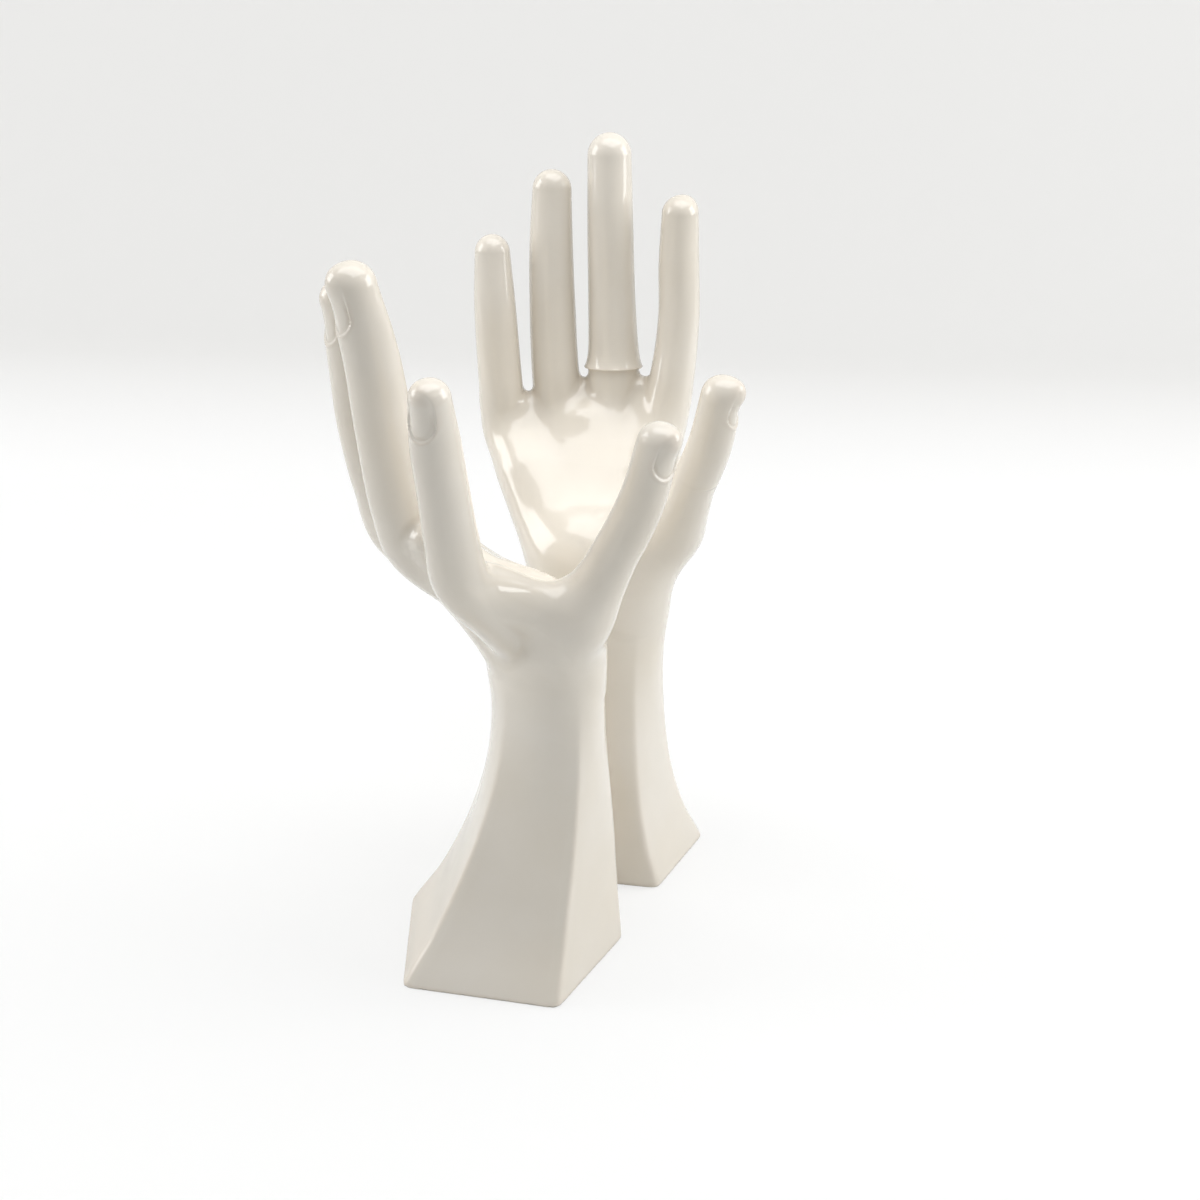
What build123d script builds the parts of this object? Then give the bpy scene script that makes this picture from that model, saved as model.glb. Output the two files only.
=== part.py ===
from build123d import *
import math
import os

# A pair of glazed ceramic hands that stand upright, each on its own five-sided flared foot.
# Millimetres. +Z is up, +X is to the right and +Y is to the back, as the pair is seen from in front.
# One right hand is modelled in its own frame: X runs across the hand to the thumb side, Y runs from
# the palm to the back of the hand, and Z is up. The left hand is its mirror image.

# Driving sizes of one hand
hand_height = 280.0
foot_reach = 44.0          # centre of the foot to one of its corners
wrist_half_width = 25.0
wrist_half_depth = 19.5
palm_half_width = 38.0
palm_half_thickness = 12.0
wall = 4.5
dome_gap = 14.0            # clay left between the top of the hollow and the start of the palm

# Finger sizes: the radius near the middle of each digit
thumb_radius = 8.0
index_radius = 7.9
middle_radius = 8.9
ring_radius = 8.6
little_radius = 8.0

# Where the two hands stand
right_foot_step_x = 35.0   # left foot centre to right foot centre
right_foot_step_y = 77.0
left_hand_turn = 119.0
right_hand_turn = -7.0

# Shape of the foot's outline. Each row is a corner: its angle in degrees, from the thumb side towards
# the back of the hand, and its reach as a share of the foot's.
left_corner_shares = [(1.0, 1.02), (80.0, 1.05), (157.0, 1.06), (224.0, 1.00), (291.0, 1.02)]
right_corner_shares = [(9.0, 0.95), (86.0, 1.00), (158.0, 1.00), (230.0, 1.00), (309.0, 1.00)]
full_turn = 360.0
corner_sharpness = 32
points_per_corner = 10
corner_gather = 0.7
oval_points = 16
section_start = -90.0      # every section starts at the middle of the palm side

# Rows of the forearm: height, flare of the width, flare of the depth, corner and drift, each a share.
# Height is a share of the hand's height. Flare runs from 0 at the wrist's size to 1 at the foot's reach.
# Corner runs from 0 for an oval to 1 for the full five-sided shape, and drift is a share of the wrist's
# shift towards the palm side.
wrist_shift = -17.5
forearm_shares = [
    (0.000, 1.00, 1.00, 1.00, 0.00),
    (0.020, 0.88, 0.92, 1.00, 0.10),
    (0.060, 0.64, 0.74, 0.98, 0.32),
    (0.110, 0.42, 0.56, 0.94, 0.53),
    (0.165, 0.25, 0.39, 0.86, 0.72),
    (0.225, 0.13, 0.23, 0.72, 0.86),
    (0.290, 0.05, 0.10, 0.50, 0.96),
    (0.355, 0.02, 0.02, 0.22, 1.00),
    (0.415, 0.09, 0.00, 0.00, 0.96),
]

# Rows of the palm: height, across and back are shares of the hand's height, then the width and the
# thickness as shares of the palm's, then the lean back and the roll of the section in degrees.
palm_shares = [
    (0.468, -0.009, -0.040, 0.80, 1.68, 20.0, 1.0),
    (0.514, -0.009, 0.003, 0.84, 1.34, 40.0, 3.0),
    (0.564, -0.027, 0.055, 0.87, 1.04, 44.0, 5.0),
    (0.611, -0.043, 0.100, 0.88, 0.86, 36.0, 6.0),
    (0.652, -0.050, 0.127, 0.88, 0.72, 24.0, 7.0),
]

# Pads of the palm: the heel of the thumb, the web between thumb and forefinger, and the heel of the
# little finger. Each row is one end: across, back and up as shares of the hand's height, then the
# radius as a share of the palm's half thickness.
thumb_heel_shares = [(0.029, -0.070, 0.407, 1.33), (0.070, -0.071, 0.525, 0.79)]
thumb_web_shares = [(0.093, -0.054, 0.532, 0.70), (0.057, 0.046, 0.579, 0.70)]
little_heel_shares = [(-0.036, -0.064, 0.429, 1.10), (-0.118, 0.036, 0.557, 0.73)]

# Digits: the centre line from the root in the heel of the palm to the centre of the tip, as shares of
# the hand's height (across, back, up), and the radius there as a share of the digit's own radius.
# The fourth point is the luted seam, where the digit meets its stump on the casting.
thumb_path_shares = [
    (0.036, -0.046, 0.457), (0.064, -0.046, 0.489), (0.086, -0.055, 0.521), (0.102, -0.073, 0.557),
    (0.121, -0.098, 0.614), (0.143, -0.123, 0.686), (0.157, -0.139, 0.761),
]
index_path_shares = [
    (0.014, -0.021, 0.479), (0.039, 0.036, 0.543), (0.061, 0.100, 0.618), (0.071, 0.123, 0.689),
    (0.074, 0.138, 0.757), (0.070, 0.151, 0.829), (0.068, 0.161, 0.893),
]
middle_path_shares = [
    (-0.007, -0.024, 0.479), (-0.011, 0.039, 0.546), (-0.011, 0.118, 0.625), (-0.013, 0.134, 0.677),
    (-0.020, 0.151, 0.771), (-0.026, 0.164, 0.868), (-0.032, 0.180, 0.970),
]
ring_path_shares = [
    (-0.032, -0.026, 0.475), (-0.057, 0.034, 0.539), (-0.082, 0.107, 0.607), (-0.093, 0.127, 0.673),
    (-0.100, 0.143, 0.750), (-0.105, 0.155, 0.836), (-0.107, 0.168, 0.914),
]
little_path_shares = [
    (-0.046, -0.034, 0.464), (-0.104, 0.022, 0.529), (-0.154, 0.086, 0.593), (-0.165, 0.101, 0.661),
    (-0.171, 0.111, 0.712), (-0.177, 0.121, 0.771), (-0.182, 0.132, 0.832),
]
thumb_radius_shares = [1.50, 1.50, 1.31, 1.15, 1.02, 0.98, 0.92]
index_radius_shares = [1.58, 1.39, 1.21, 1.06, 1.00, 0.97, 0.87]
middle_radius_shares = [1.42, 1.24, 1.13, 1.07, 1.01, 0.98, 0.94]
ring_radius_shares = [1.40, 1.20, 1.10, 1.06, 1.02, 0.97, 0.86]
little_radius_shares = [1.44, 1.21, 1.12, 1.05, 1.02, 0.98, 0.84]
stump_disc_count = 4

# Each digit is luted on by hand, so two of them sit a little differently on the left hand: how far the
# tip moves across, back and up, as shares of the hand's height. The other points move in proportion.
as_cast_shares = (0, 0, 0)
left_thumb_shift_shares = (-0.015, 0.009, 0.012)
left_index_shift_shares = (0.034, -0.012, -0.028)

digit_table = {
    "thumb": (thumb_radius, thumb_path_shares, thumb_radius_shares),
    "index_finger": (index_radius, index_path_shares, index_radius_shares),
    "middle_finger": (middle_radius, middle_path_shares, middle_radius_shares),
    "ring_finger": (ring_radius, ring_path_shares, ring_radius_shares),
    "little_finger": (little_radius, little_path_shares, little_radius_shares),
}
left_shift_table = {"thumb": left_thumb_shift_shares, "index_finger": left_index_shift_shares}

casting_name = "body_casting"


def section_angles(corner_shares):
    """Angles at which the foot is sampled, gathered towards its corners, from the palm side on."""
    turns = [row[0] for row in corner_shares]
    before = [turns[-1] - full_turn] + turns[:-1]
    after = turns[1:] + [turns[0] + full_turn]
    angles = []
    for turn, turn_before, turn_after in zip(turns, before, after):
        for step in range(points_per_corner):
            run = step / points_per_corner
            eased = run + corner_gather * math.sin(math.tau * run) / math.tau - 0.5
            span = turn_after - turn if eased > 0 else turn - turn_before
            angles.append(math.radians(turn + span * eased))
    start = math.radians(section_start)
    offsets = [abs(math.remainder(angle - start, math.tau)) for angle in angles]
    first = offsets.index(min(offsets))
    return angles[first:] + angles[:first]


def corner_profile(angle, corner_shares):
    """Reach of the soft-cornered foot outline at an angle, as a share of the foot's."""
    spots = [(reach * math.cos(math.radians(turn)), reach * math.sin(math.radians(turn))) for turn, reach in corner_shares]
    total = 0.0
    for row, (x, y) in enumerate(spots):
        next_x, next_y = spots[(row + 1) % len(spots)]
        facing = math.atan2(x - next_x, next_y - y)
        distance = x * math.cos(facing) + y * math.sin(facing)
        total += max(0.0, math.cos(angle - facing) / distance) ** corner_sharpness
    return (total / 2) ** (-1 / corner_sharpness)


def foot_face(origin, half_width, half_depth, corner, corner_shares):
    """A level cross-section, blended from an oval to the five-sided outline of the foot."""
    points = []
    for angle in section_angles(corner_shares):
        reach = 1 - corner + corner * corner_profile(angle, corner_shares)
        across = half_width * reach * math.cos(angle)
        back = half_depth * reach * math.sin(angle)
        points.append(origin + Vector(across, back, 0))
    return make_face(Spline(points, periodic=True).edge())


def oval_face(origin, across, back, half_width, half_depth):
    """An oval cross-section in the plane of two directions."""
    points = []
    for step in range(oval_points):
        angle = math.radians(section_start) + math.tau * step / oval_points
        sideways = across * (half_width * math.cos(angle))
        points.append(origin + sideways + back * (half_depth * math.sin(angle)))
    return make_face(Spline(points, periodic=True).edge())


def forearm_row(row, inset, corner_shares):
    """Section of the forearm for one row, drawn in from the outside by the inset."""
    height_share, width_flare, depth_flare, corner, drift = row
    half_width = wrist_half_width + (foot_reach - wrist_half_width) * width_flare - inset
    half_depth = wrist_half_depth + (foot_reach - wrist_half_depth) * depth_flare - inset
    origin = Vector(0, wrist_shift * drift, hand_height * height_share)
    if corner:
        return foot_face(origin, half_width, half_depth, corner, corner_shares)
    return oval_face(origin, Vector(1, 0, 0), Vector(0, 1, 0), half_width, half_depth)


def palm_row(row):
    """Section of the palm for one row, leaning back and rolled towards the little finger."""
    height_share, across_share, back_share, width_share, thick_share, lean, roll = row
    origin = Vector(across_share, back_share, height_share) * hand_height
    lean_angle = math.radians(lean)
    roll_angle = math.radians(roll)
    across = Vector(math.cos(roll_angle), 0, math.sin(roll_angle))
    back = Vector(0, math.cos(lean_angle), -math.sin(lean_angle))
    half_width = palm_half_width * width_share
    half_depth = palm_half_thickness * thick_share
    return oval_face(origin, across, back, half_width, half_depth)


def palm_pad(pad_shares):
    """A tapered pad of the palm, from one end to the other."""
    ends = [Vector(across, back, up) * hand_height for across, back, up, radius_share in pad_shares]
    along = ends[1] - ends[0]
    discs = []
    for end, (across, back, up, radius_share) in zip(ends, pad_shares):
        discs.append(Plane(origin=end, z_dir=along) * Circle(palm_half_thickness * radius_share))
    return loft(discs)


def digit_discs(radius, path_shares, radius_shares, tip_shift_shares):
    """Round cross-sections of a digit, square to its centre line, from the root to the tip."""
    last = len(path_shares) - 1
    points = []
    for row, share in enumerate(path_shares):
        points.append((Vector(*share) + Vector(*tip_shift_shares) * (row / last)) * hand_height)
    discs = []
    for row, point in enumerate(points):
        along = (points[min(row + 1, last)] - points[max(row - 1, 0)]).normalized()
        sideways = along.cross(Vector(0, 1, 0)).normalized()
        plane = Plane(origin=point, x_dir=sideways, z_dir=along)
        discs.append(plane * Circle(radius * radius_shares[row]))
    tip_plane = plane
    return discs, tip_plane


def digit(radius, path_shares, radius_shares, tip_shift_shares):
    """The luted part of a digit, from its flat seam to its rounded tip."""
    discs, tip_plane = digit_discs(radius, path_shares, radius_shares, tip_shift_shares)
    from_centre = (Align.CENTER, Align.CENTER, Align.MIN)
    tip = tip_plane * Sphere(radius * radius_shares[-1], arc_size1=0, align=from_centre)
    return loft(discs[stump_disc_count - 1 :]) + tip


def stump(radius, path_shares, radius_shares, tip_shift_shares):
    """The lower part of a digit, which belongs to the casting."""
    discs, tip_plane = digit_discs(radius, path_shares, radius_shares, tip_shift_shares)
    return loft(discs[:stump_disc_count])


def hollow(corner_shares):
    """The space inside the foot and forearm, open below."""
    hollow_top = hand_height * forearm_shares[-1][0] - dome_gap
    rows = [row for row in forearm_shares if row[0] * hand_height < hollow_top]
    return loft([forearm_row(row, wall, corner_shares) for row in rows])


def hand_pieces(corner_shares, shift_table):
    """The casting and the five digits of one hand, as a right hand in its own frame."""
    forearm = loft([forearm_row(row, 0, corner_shares) for row in forearm_shares]) - hollow(corner_shares)
    wrist_row = forearm_row(forearm_shares[-1], 0, corner_shares)
    palm = loft([wrist_row] + [palm_row(row) for row in palm_shares])
    for pad_shares in (thumb_heel_shares, thumb_web_shares, little_heel_shares):
        palm += palm_pad(pad_shares)
    pieces = {}
    for name, sizes in digit_table.items():
        tip_shift_shares = shift_table.get(name, as_cast_shares)
        palm += stump(*sizes, tip_shift_shares)
        pieces[name] = digit(*sizes, tip_shift_shares)
    pieces[casting_name] = forearm + palm
    return pieces


left_place = Location((0, 0, 0), (0, 0, left_hand_turn))
right_place = Location((right_foot_step_x, right_foot_step_y, 0), (0, 0, right_hand_turn))
placed = {}
for name, piece in hand_pieces(left_corner_shares, left_shift_table).items():
    placed["left_" + name] = left_place * mirror(piece, about=Plane.YZ)
for name, piece in hand_pieces(right_corner_shares, {}).items():
    placed["right_" + name] = right_place * piece

box = Compound(list(placed.values())).bounding_box()
centre = Location((-(box.min.X + box.max.X) / 2, -(box.min.Y + box.max.Y) / 2, -box.min.Z))

os.makedirs("parts", exist_ok=True)
for name, shape in placed.items():
    export_step(centre * shape, "parts/" + name + ".step")
print("size of the pair", box.size)
print("shift to the middle of the pair", centre.position)
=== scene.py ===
# %% [markdown]
# # A pair of glazed ceramic hands
# Two ornaments stand side by side: a left hand in front and a right hand behind it. Each is a hollow
# casting with five digits luted on, dipped in one warm white glaze and fired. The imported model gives
# the bones: where each hand stands, how tall it is and where its pieces meet. This scene gives the
# skin: one smooth glazed surface for each hand, cut at the seams into the same pieces.

import math

import bmesh
import bpy
import numpy as np
from mathutils import Euler, Matrix, Vector


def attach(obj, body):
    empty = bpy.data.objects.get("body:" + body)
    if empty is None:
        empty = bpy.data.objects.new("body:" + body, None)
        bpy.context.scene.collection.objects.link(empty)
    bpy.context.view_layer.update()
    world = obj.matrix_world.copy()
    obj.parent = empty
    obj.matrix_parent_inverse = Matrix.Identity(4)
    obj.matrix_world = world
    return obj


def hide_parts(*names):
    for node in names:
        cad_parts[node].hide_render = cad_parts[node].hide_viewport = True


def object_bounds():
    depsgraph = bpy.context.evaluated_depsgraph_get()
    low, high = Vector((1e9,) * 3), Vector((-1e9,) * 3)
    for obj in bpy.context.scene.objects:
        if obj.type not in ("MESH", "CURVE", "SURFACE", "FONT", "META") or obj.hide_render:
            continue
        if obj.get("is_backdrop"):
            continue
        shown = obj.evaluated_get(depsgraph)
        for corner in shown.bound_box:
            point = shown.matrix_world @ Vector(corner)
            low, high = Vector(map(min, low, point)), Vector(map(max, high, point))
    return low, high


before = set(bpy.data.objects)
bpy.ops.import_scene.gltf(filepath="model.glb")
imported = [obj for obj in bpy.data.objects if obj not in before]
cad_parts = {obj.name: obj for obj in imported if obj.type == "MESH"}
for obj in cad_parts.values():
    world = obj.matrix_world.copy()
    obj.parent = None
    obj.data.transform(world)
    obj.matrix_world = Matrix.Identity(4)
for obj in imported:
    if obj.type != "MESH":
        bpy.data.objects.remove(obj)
cad_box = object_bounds()
cad_nodes = sorted(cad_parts)
print("packed pieces:", ", ".join(cad_nodes))

# %% [markdown]
# ## The camera
# The photograph looks down on the hands from above their fingertips, through a fairly long lens. A
# camera can be placed by eye, but this one was solved from the corners of the two feet and the
# fingertips, so the render and the photograph line up. The camera also leans by a degree and a half.

# %% Camera
camera_spot = (0.02425, -0.8032, 0.546)
pitch_down = math.radians(27.6)
lean = math.radians(1.44)
lens_length = 73.3

camera_data = bpy.data.cameras.new("camera")
camera_data.lens = lens_length
camera = bpy.data.objects.new("camera", camera_data)
turn = Euler((math.pi / 2 - pitch_down, 0, 0)).to_matrix() @ Matrix.Rotation(lean, 3, "Z")
camera.matrix_world = Matrix.Translation(camera_spot) @ turn.to_4x4()
bpy.context.scene.collection.objects.link(camera)
bpy.context.scene.camera = camera
print("camera lens", lens_length, "mm")

# %% [markdown]
# ## Smooth tables
# A hand is described best by a few measured rows, such as the places of a finger's joints. A curve
# drawn through those rows with matching slopes has no corners, which matters a lot under a glossy
# glaze, because a highlight shows every kink. The curve is sampled once, finely, and looked up after.

# %% Curves through rows
samples_per_curve = 241


def smooth_rows(rows):
    """Samples a curve through rows whose first column is the height. Returns heights and values."""
    rows = np.asarray(rows, float)
    heights, values = rows[:, 0], rows[:, 1:]
    slopes = np.gradient(values, heights, axis=0)
    at = np.linspace(heights[0], heights[-1], samples_per_curve)
    span = np.clip(np.searchsorted(heights, at, "right") - 1, 0, len(heights) - 2)
    length = (heights[span + 1] - heights[span])[:, None]
    t = (at - heights[span])[:, None] / length
    start, end = values[span], values[span + 1]
    start_slope, end_slope = slopes[span] * length, slopes[span + 1] * length
    curve = (2 * t**3 - 3 * t**2 + 1) * start + (t**3 - 2 * t**2 + t) * start_slope
    curve = curve + (3 * t**2 - 2 * t**3) * end + (t**3 - t**2) * end_slope
    return at, curve


def look_up(height, table):
    """The columns of a sampled table at each height."""
    at, curve = table
    return [np.interp(height, at, column) for column in curve.T]


# %% [markdown]
# ## The arm and foot
# The forearm is an oval at the wrist and a five-cornered foot at the bottom, and each section between
# them is a blend of the two. It could be a mesh pulled up ring by ring. Here it is a field instead: a
# formula that says, for any point, how far it lies outside (plus) or inside (minus) the clay. Fields
# can be melted into each other, which is just what a thumb does to wet clay. Everything from here to
# the skin is in millimetres, in the frame of a right hand: X to the thumb, Y to the back of the hand.

# %% Arm field
hand_height = 280.0
foot_reach = 44.0
wrist_half_width, wrist_half_depth = 25.0, 19.5
wrist_shift = -17.5
corner_sharpness = 32
wall = 4.5
lip_round, hollow_edge_round = 1.3, 1.0
hollow_top, hollow_round = 102.0, 12.0

# height, flare of the width, flare of the depth, corner, drift: shares of the sizes above
arm_rows = [
    (0.000, 1.00, 1.00, 1.00, 0.00), (0.020, 0.88, 0.92, 1.00, 0.10),
    (0.060, 0.64, 0.74, 0.98, 0.32), (0.110, 0.42, 0.56, 0.94, 0.53), (0.165, 0.25, 0.39, 0.86, 0.72),
    (0.225, 0.13, 0.23, 0.72, 0.86), (0.290, 0.05, 0.09, 0.50, 0.95), (0.355, 0.02, 0.02, 0.22, 0.975),
    (0.415, 0.09, 0.01, 0.00, 0.905), (0.450, 0.12, 0.00, 0.00, 0.85), (0.480, 0.10, -0.06, 0.00, 0.77),
]
arm_table = smooth_rows(arm_rows)
arm_top = hand_height * 0.465
arm_top_round = 21.0

# the corners of each foot: the angle in degrees and the reach as a share of the foot's
foot_corners = {
    "left": [(1, 1.02), (80, 1.05), (157, 1.06), (224, 1.00), (291, 1.02)],
    "right": [(9, 0.95), (86, 1.00), (158, 1.00), (230, 1.00), (309, 1.00)],
}


def foot_side_list(corners):
    """The way each side of the foot faces, and how far it lies from the middle."""
    turns = [(math.radians(degrees), reach) for degrees, reach in corners]
    spots = [(reach * math.cos(turn), reach * math.sin(turn)) for turn, reach in turns]
    sides = []
    for number, (x, y) in enumerate(spots):
        next_x, next_y = spots[(number + 1) % len(spots)]
        facing = math.atan2(-(next_x - x), next_y - y)
        sides.append((facing, x * math.cos(facing) + y * math.sin(facing)))
    return sides


def corner_reach(angle, sides):
    """Radius of the soft-cornered outline at an angle, for a foot with a reach of one."""
    total = np.full_like(angle, 1e-9)
    for facing, distance in sides:
        total += np.maximum(0.0, np.cos(angle - facing) / distance) ** corner_sharpness
    return (total / 2) ** (-1 / corner_sharpness)


def arm_section(height, angle, foot_shape, inset=0.0):
    """Half sizes and middle of the arm's section at a height, and its reach at an angle."""
    width_flare, depth_flare, corner, drift = look_up(height / hand_height, arm_table)
    half_width = wrist_half_width + (foot_reach - wrist_half_width) * width_flare - inset
    half_depth = wrist_half_depth + (foot_reach - wrist_half_depth) * depth_flare - inset
    reach = 1 - corner + corner * corner_reach(angle, foot_shape)
    return half_width, half_depth, wrist_shift * drift, reach


def inside_both(first, second, radius):
    """The clay that lies inside two fields, with a round edge where they meet."""
    edge = np.hypot(np.maximum(first + radius, 0), np.maximum(second + radius, 0))
    return np.minimum(np.maximum(first, second) + radius, 0) + edge - radius


def arm_side(points, foot_shape, top, inset=0.0):
    """Distance to the side of the arm, drawn in by an inset."""
    across, back, height = points.T
    level = np.clip(height, 0, top)
    half_width, half_depth, middle, reach = arm_section(level, np.zeros_like(level), foot_shape, inset)
    angle = np.arctan2((back - middle) / half_depth, across / half_width)
    half_width, half_depth, middle, reach = arm_section(level, angle, foot_shape, inset)
    out = np.hypot(across / half_width, (back - middle) / half_depth)
    local = np.hypot(half_width * np.cos(angle), half_depth * np.sin(angle))
    return (out / reach - 1) * reach * local


def hollow_field(points, foot_shape):
    """Distance to the hollow, which is open at the foot and ends in a dome."""
    side = arm_side(points, foot_shape, hollow_top, wall)
    return inside_both(side, points[:, 2] - hollow_top, hollow_round)


def arm_field(points, foot_shape):
    """Distance to the arm and foot, with a rounded top that the palm covers."""
    side = arm_side(points, foot_shape, arm_top)
    return inside_both(side, points[:, 2] - arm_top - arm_top_round, arm_top_round)


# %% [markdown]
# ## The digits
# Each digit is one stroke of clay, from its root in the heel of the palm to its tip, with a radius
# that thins on the way. A chain of cylinders would show its joints, so the stroke follows a smooth
# centre line, and its field is the distance to that line less the radius there.

# %% Digit strokes
# height, then across and back, as shares of the hand's height, and the radius in millimetres
digit_rows = {
    "thumb": [
        (0.430, 0.020, -0.046, 13.0), (0.463, 0.038, -0.044, 12.6), (0.492, 0.067, -0.042, 11.8),
        (0.521, 0.090, -0.053, 11.0), (0.557, 0.105, -0.074, 10.2), (0.614, 0.122, -0.099, 8.6),
        (0.686, 0.144, -0.123, 8.0), (0.761, 0.157, -0.139, 7.4),
    ],
    "index_finger": [
        (0.440, 0.000, -0.050, 13.0), (0.479, 0.014, -0.021, 12.5), (0.543, 0.039, 0.036, 11.0),
        (0.618, 0.061, 0.100, 9.6), (0.689, 0.071, 0.123, 8.4), (0.757, 0.074, 0.138, 7.9),
        (0.829, 0.070, 0.151, 7.7), (0.893, 0.068, 0.161, 6.9),
    ],
    "middle_finger": [
        (0.440, -0.004, -0.050, 13.2), (0.479, -0.007, -0.024, 12.6), (0.546, -0.011, 0.039, 11.0),
        (0.625, -0.011, 0.118, 10.3), (0.677, -0.013, 0.134, 9.8), (0.771, -0.020, 0.151, 9.0),
        (0.868, -0.026, 0.164, 8.7), (0.961, -0.032, 0.184, 8.3),
    ],
    "ring_finger": [
        (0.436, -0.020, -0.048, 12.8), (0.475, -0.032, -0.026, 12.0), (0.539, -0.057, 0.034, 10.3),
        (0.607, -0.082, 0.107, 9.5), (0.673, -0.093, 0.127, 9.1), (0.750, -0.100, 0.143, 8.8),
        (0.836, -0.105, 0.155, 8.3), (0.914, -0.107, 0.168, 7.4),
    ],
    "little_finger": [
        (0.425, -0.020, -0.052, 12.5), (0.464, -0.046, -0.034, 11.5), (0.529, -0.104, 0.022, 9.7),
        (0.593, -0.154, 0.086, 9.0), (0.661, -0.165, 0.101, 8.4), (0.712, -0.171, 0.111, 8.2),
        (0.771, -0.177, 0.121, 7.8), (0.832, -0.182, 0.132, 6.7),
    ],
}
seam_row = 4

# the way each nail faces
nail_facings = {
    "thumb": (0.97, -0.23), "index_finger": (0.50, 0.87), "middle_finger": (0.0, 1.0),
    "ring_finger": (-0.05, 1.0), "little_finger": (-0.15, 1.0),
}

# how much deeper than wide a digit is: well below its tip, just below it and at the tip
tip_well_below, tip_just_below = 40, 15
depth_start, depth_full = 150, 190
deepening = {
    "thumb": (1.0, 1.0, 1.0), "index_finger": (1.13, 1.12, 1.02), "middle_finger": (1.12, 1.07, 0.98),
    "ring_finger": (1.08, 1.0, 0.88), "little_finger": (1.05, 1.0, 0.95),
}

# how far the tips of two digits on the left hand sit from their places on the right one: across, back, up
left_shifts = {"thumb": (-0.015, 0.009, 0.012), "index_finger": (0.034, -0.012, -0.028)}


class Stroke:
    """A centre line with a radius, looked up by height."""

    def __init__(self, rows, tip_shift, deeper):
        rows = np.array(rows, float)
        part = np.clip((np.arange(len(rows)) - 1) / (len(rows) - 2), 0, 1)[:, None]
        places = np.column_stack([rows[:, 1:3], rows[:, 0]]) + part * np.array(tip_shift)
        places = places * hand_height
        table = np.column_stack([places[:, 2], places[:, :2], rows[:, 3]])
        self.low, self.high = places[0, 2], places[-1, 2]
        at, curve = smooth_rows(table)
        slope = np.gradient(curve[:, :2], at, axis=0)
        along = np.column_stack([slope, np.ones(len(at))])
        along = along / np.linalg.norm(along, axis=1)[:, None]
        self.table = (at, np.column_stack([curve, along]))
        self.tip = places[-1]
        self.tip_radius = rows[-1, 3]
        self.tip_way = along[-1]
        self.seam_height = places[seam_row, 2]
        self.seam = [value[0] for value in self.at(np.array([self.seam_height]))]
        below_tip = [self.high - tip_well_below, self.high - tip_just_below, self.high]
        self.depth_heights = [depth_start, depth_full, *below_tip]
        self.depth_shares = [1, 1 / deeper[0], 1 / deeper[0], 1 / deeper[1], 1 / deeper[2]]

    def at(self, height):
        across, back, radius, way_x, way_y, way_z = look_up(height, self.table)
        return np.column_stack([across, back, height]), radius, np.column_stack([way_x, way_y, way_z])

    def field(self, points):
        level = np.clip(points[:, 2], self.low, self.high)
        for _ in range(2):
            middle, radius, way = self.at(level)
            offset = points - middle
            ahead = (offset * way).sum(1)
            level = np.clip(level + ahead * way[:, 2], self.low, self.high)
        middle, radius, way = self.at(level)
        offset = points - middle
        ahead = (offset * way).sum(1)
        ahead = np.where(level >= self.high, np.minimum(ahead, 0), ahead)
        ahead = np.where(level <= self.low, np.maximum(ahead, 0), ahead)
        offset = offset - ahead[:, None] * way
        back = offset[:, 1] * np.interp(points[:, 2], self.depth_heights, self.depth_shares)
        return np.sqrt(offset[:, 0] ** 2 + back**2 + offset[:, 2] ** 2) - radius


# %% [markdown]
# ## Melting the clay together
# Two lumps pressed together don't meet in a sharp valley: the thumb draws a soft web between them.
# The blend below is the usual smooth minimum, with a width in millimetres. It is wide in the palm and
# narrow above the knuckles, so that the fingers stay apart.

# %% Blending helpers
tetra = np.array([(1, 1, 1), (1, -1, -1), (-1, 1, -1), (-1, -1, 1)], float)


def blend(first, second, width):
    """Joins two fields with a web of the given width."""
    near = np.maximum(width - np.abs(first - second), 0) / width
    return np.minimum(first, second) - near * near * width / 4


def carve(body, cutter, width):
    """Cuts one field out of another, with a soft edge."""
    return -blend(-body, cutter, width)


def smooth_step(value):
    """Rises from nothing to one without a corner."""
    value = np.clip(value, 0, 1)
    return value * value * (3 - 2 * value)


def lump(points, start, end, start_radius, end_radius):
    """A straight stroke between two places, with a radius at each end."""
    start, end = np.array(start, float), np.array(end, float)
    way = end - start
    part = np.clip(((points - start) @ way) / (way @ way), 0, 1)
    gap = np.linalg.norm(points - start - part[:, None] * way, axis=1)
    return gap - (start_radius + (end_radius - start_radius) * part)


# %% [markdown]
# ## Nails
# The nails are long and shallow. Each lies a little below the skin, in a bed with a round end at the
# cuticle, where a low fold of skin stands round it. Towards its free edge the nail comes up level with
# the skin, and the fingertip is filled out there, so that the tip's highest place is at its back.

# %% Nail fields
# the nail's outline, as shares of the tip's radius
nail_half_width, nail_front, nail_corner = 0.72, 0.80, 0.72
nail_backs = {
    "thumb": -1.35, "index_finger": -1.70, "middle_finger": -1.70,
    "ring_finger": -1.75, "little_finger": -1.75,
}
nail_search = 3.2

# depth of the bed and width of its edge, height and width of the fold, in millimetres
nail_sink, nail_edge, fold_height, fold_width = 0.55, 0.75, 0.16, 0.7
nail_tip_share = 0.2

# how much each tip is filled out, in millimetres, and where, as shares of the tip's radius
tip_fills = {
    "thumb": 2.4, "index_finger": 1.4, "middle_finger": 1.4, "ring_finger": 1.1, "little_finger": 1.1,
}
tip_fill_out, tip_fill_along, tip_fill_reach = 0.78, 0.58, 0.62


def nail_axes(stroke, facing):
    """Sideways, out and along directions of a nail."""
    along = stroke.tip_way
    out = np.array([facing[0], facing[1], 0.0])
    out = out - (out @ along) * along
    out = out / np.linalg.norm(out)
    return np.cross(along, out), out, along


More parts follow.
